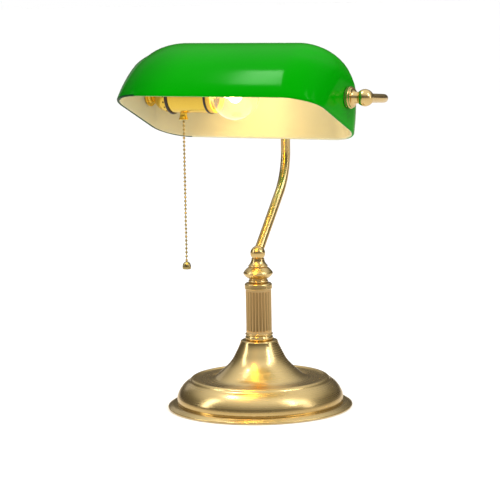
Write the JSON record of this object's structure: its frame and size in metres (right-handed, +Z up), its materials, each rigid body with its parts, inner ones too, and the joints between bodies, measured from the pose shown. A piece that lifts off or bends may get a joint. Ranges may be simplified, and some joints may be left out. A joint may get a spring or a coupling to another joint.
{
  "type": "desk lamp",
  "caption": "Banker desk lamp: spun brass foot, fluted column, leaning arm and yoke, tilting green cased-glass shade, bulb socket with pull chain.",
  "frame": {"origin": "centre of the felt pad's underside, on the column's axis", "axes": "+X along the shade towards the end without the socket, -Y to the front, +Z up the column"},
  "size_m": [0.2778, 0.1987, 0.3701],
  "materials": {
    "satin_brass": "spun and lacquered satin brass with a fine circular grain",
    "fluted_brass": "matt antiqued brass, darker in the flutes",
    "socket_brass": "bright rolled brass sheet",
    "chain_brass": "bright brass beads",
    "dark_ring": "dark insulating ring",
    "plated_steel": "zinc plated steel",
    "cap_metal": "rolled thread, plain",
    "tin": "solder",
    "cast_iron": "rough casting",
    "steel_sheet": "plain sheet",
    "felt": "pressed wool felt",
    "gland_plastic": "moulded plastic",
    "fibre": "vulcanised fibre",
    "cased_glass": "glossy green glass cased over opal white",
    "liner_card": "insulating card",
    "collar_plastic": "pale insulating collar, amber in the lamp light",
    "phenolic": "moulded phenolic",
    "clear_glass": "clear",
    "black_glass": "black glass base insulator",
    "hot_filament": "glowing tungsten"
  },
  "bodies": {
    "lamp": {"base_cover": "satin_brass", "foot_collar": "satin_brass", "column_cap": "satin_brass", "stem_knop": "satin_brass", "stem_bell": "satin_brass", "arm_knuckle": "satin_brass", "arm_tube": "satin_brass", "yoke_tube": "satin_brass", "yoke_hub": "satin_brass", "knuckle_left": "satin_brass", "knuckle_right": "satin_brass", "flange_left": "satin_brass", "flange_right": "satin_brass", "fluted_column": "fluted_brass", "lock_nut_left": "socket_brass", "lock_nut_right": "socket_brass", "socket_cap": "socket_brass", "socket_shell": "socket_brass", "chain_nozzle": "socket_brass", "screw_shell": "socket_brass", "contact_leaf": "socket_brass", "split_ring": "dark_ring", "mouth_ring": "dark_ring", "tie_rod": "plated_steel", "nipple_left": "plated_steel", "nipple_right": "plated_steel", "base_nut": "plated_steel", "base_washer": "plated_steel", "drum_axle": "plated_steel", "return_spring": "plated_steel", "bulb_cap": "cap_metal", "bulb_contact": "tin", "base_weight": "cast_iron", "base_plate": "steel_sheet", "felt_pad": "felt", "cord_gland": "gland_plastic", "socket_liner": "liner_card", "mouth_collar": "collar_plastic", "switch_body": "phenolic", "bulb_envelope": "clear_glass", "filament_stem": "clear_glass", "bulb_insulator": "black_glass", "filament": "hot_filament"},
    "shade": {"shade_glass": "cased_glass", "grommet_left": "fibre", "grommet_right": "fibre", "inner_washer_left": "fibre", "inner_washer_right": "fibre"},
    "drum": {"switch_drum": "phenolic"},
    "chain_link": {"chain_in_socket": "chain_brass"},
    "chain": {"pull_chain": "chain_brass", "chain_knob": "chain_brass"}
  },
  "joints": [
    {"name": "shade_tilt", "type": "hinge", "parent": "lamp", "child": "shade", "pos_m": [0, -0.0231, 0.3171], "axis": [1, 0, 0], "range_deg": [-20, 43]},
    {"name": "chain_pull", "type": "slide", "parent": "lamp", "child": "chain_link", "axis": [0, 0, -1], "range_m": [0, 0.008], "stiffness_N_per_m": 600, "springref_m": -0.002},
    {"name": "drum_turn", "type": "hinge", "parent": "lamp", "child": "drum", "pos_m": [-0.0746, -0.0231, 0.3171], "axis": [0, 1, 0], "range_deg": [0, 92]},
    {"name": "chain_swing", "type": "hinge", "parent": "chain_link", "child": "chain", "pos_m": [-0.0696, -0.0231, 0.29264], "axis": [1, 0, 0], "range_deg": [-20, 20]}
  ],
  "couplings": [
    {"joint": "drum_turn", "follows": "chain_pull", "rad_per_m": 200}
  ]
}
